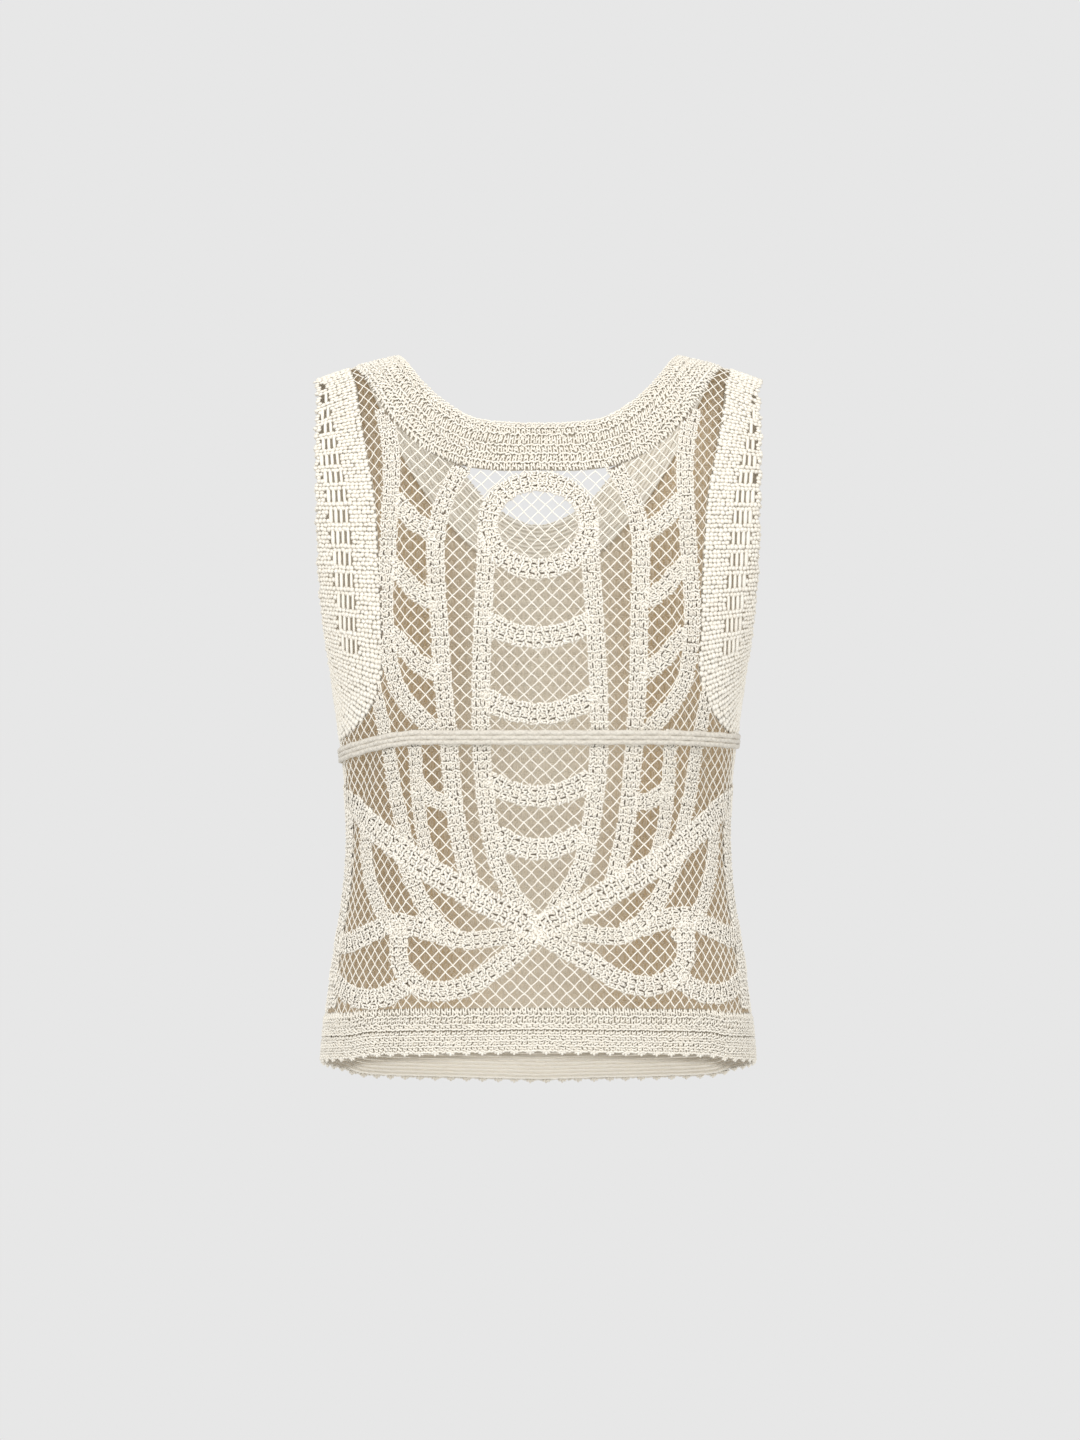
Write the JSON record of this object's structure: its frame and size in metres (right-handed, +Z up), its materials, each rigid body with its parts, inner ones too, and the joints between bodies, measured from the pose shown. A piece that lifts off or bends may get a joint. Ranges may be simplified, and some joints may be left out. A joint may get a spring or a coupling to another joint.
{
  "type": "crochet openwork sweater",
  "caption": "Sleeveless crochet openwork top in cream cotton, worn and hollow, its lace back of raised tapes on a diamond net, with plain bands and a waist cord.",
  "frame": {"origin": "middle between the shoulders at the height of the neck points, where the wearer's shoulders hold it", "axes": "+X to the right as seen from behind, -Y out of the lace back, +Z up; the garment hangs below the origin"},
  "size_m": [0.3394, 0.209, 0.5535],
  "materials": {
    "lace_back": "matte cotton crochet, tapes on net",
    "plain_front": "matte cotton crochet, plain rows",
    "edging": "matte cotton crochet, dense bands",
    "cord": "matte cotton braid"
  },
  "bodies": {
    "root": {"back_panel": "lace_back", "front_panel": "plain_front", "neckband": "edging", "armhole_band_left": "edging", "armhole_band_right": "edging", "hem_band": "edging", "waist_cord": "cord"}
  },
  "joints": []
}
